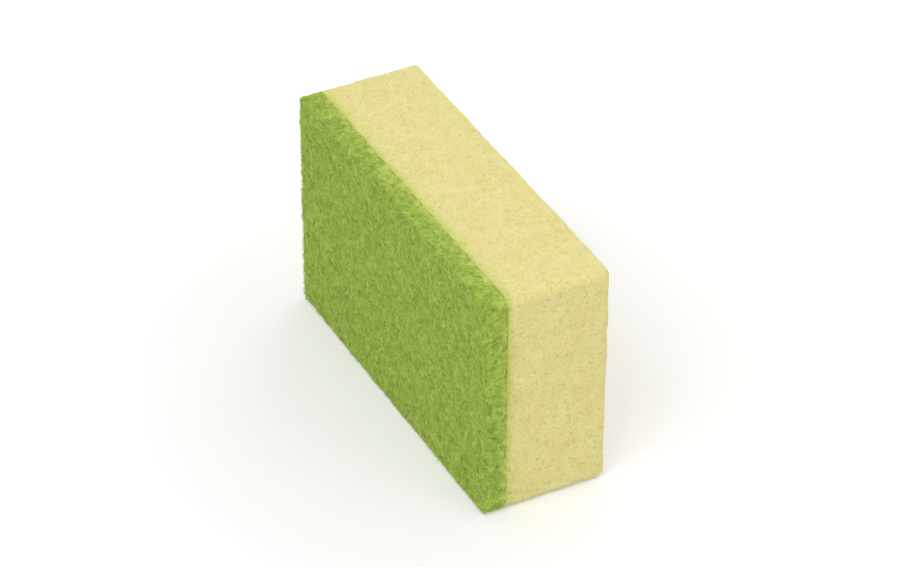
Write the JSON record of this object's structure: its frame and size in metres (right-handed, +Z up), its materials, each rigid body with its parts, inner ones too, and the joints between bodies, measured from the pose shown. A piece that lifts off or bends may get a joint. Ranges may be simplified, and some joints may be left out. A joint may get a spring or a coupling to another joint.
{
  "type": "cleaning sponge",
  "caption": "Kitchen cleaning sponge: a soft pale yellow foam block with a thin green scouring pad bonded to one large face.",
  "frame": {"origin": "middle of the base, on the surface that the sponge stands on", "axes": "+Y along the length, +Z up the width, +X out of the foam's free face, with the scouring pad on the -X side"},
  "size_m": [0.0264, 0.08, 0.05],
  "materials": {
    "foam": "soft, matt, open-pored polyurethane foam, pale yellow",
    "scouring_fibre": "rough, matt non-woven scouring fibre, bright green"
  },
  "bodies": {
    "root": {"foam_block": "foam", "scouring_pad": "scouring_fibre"}
  },
  "joints": []
}
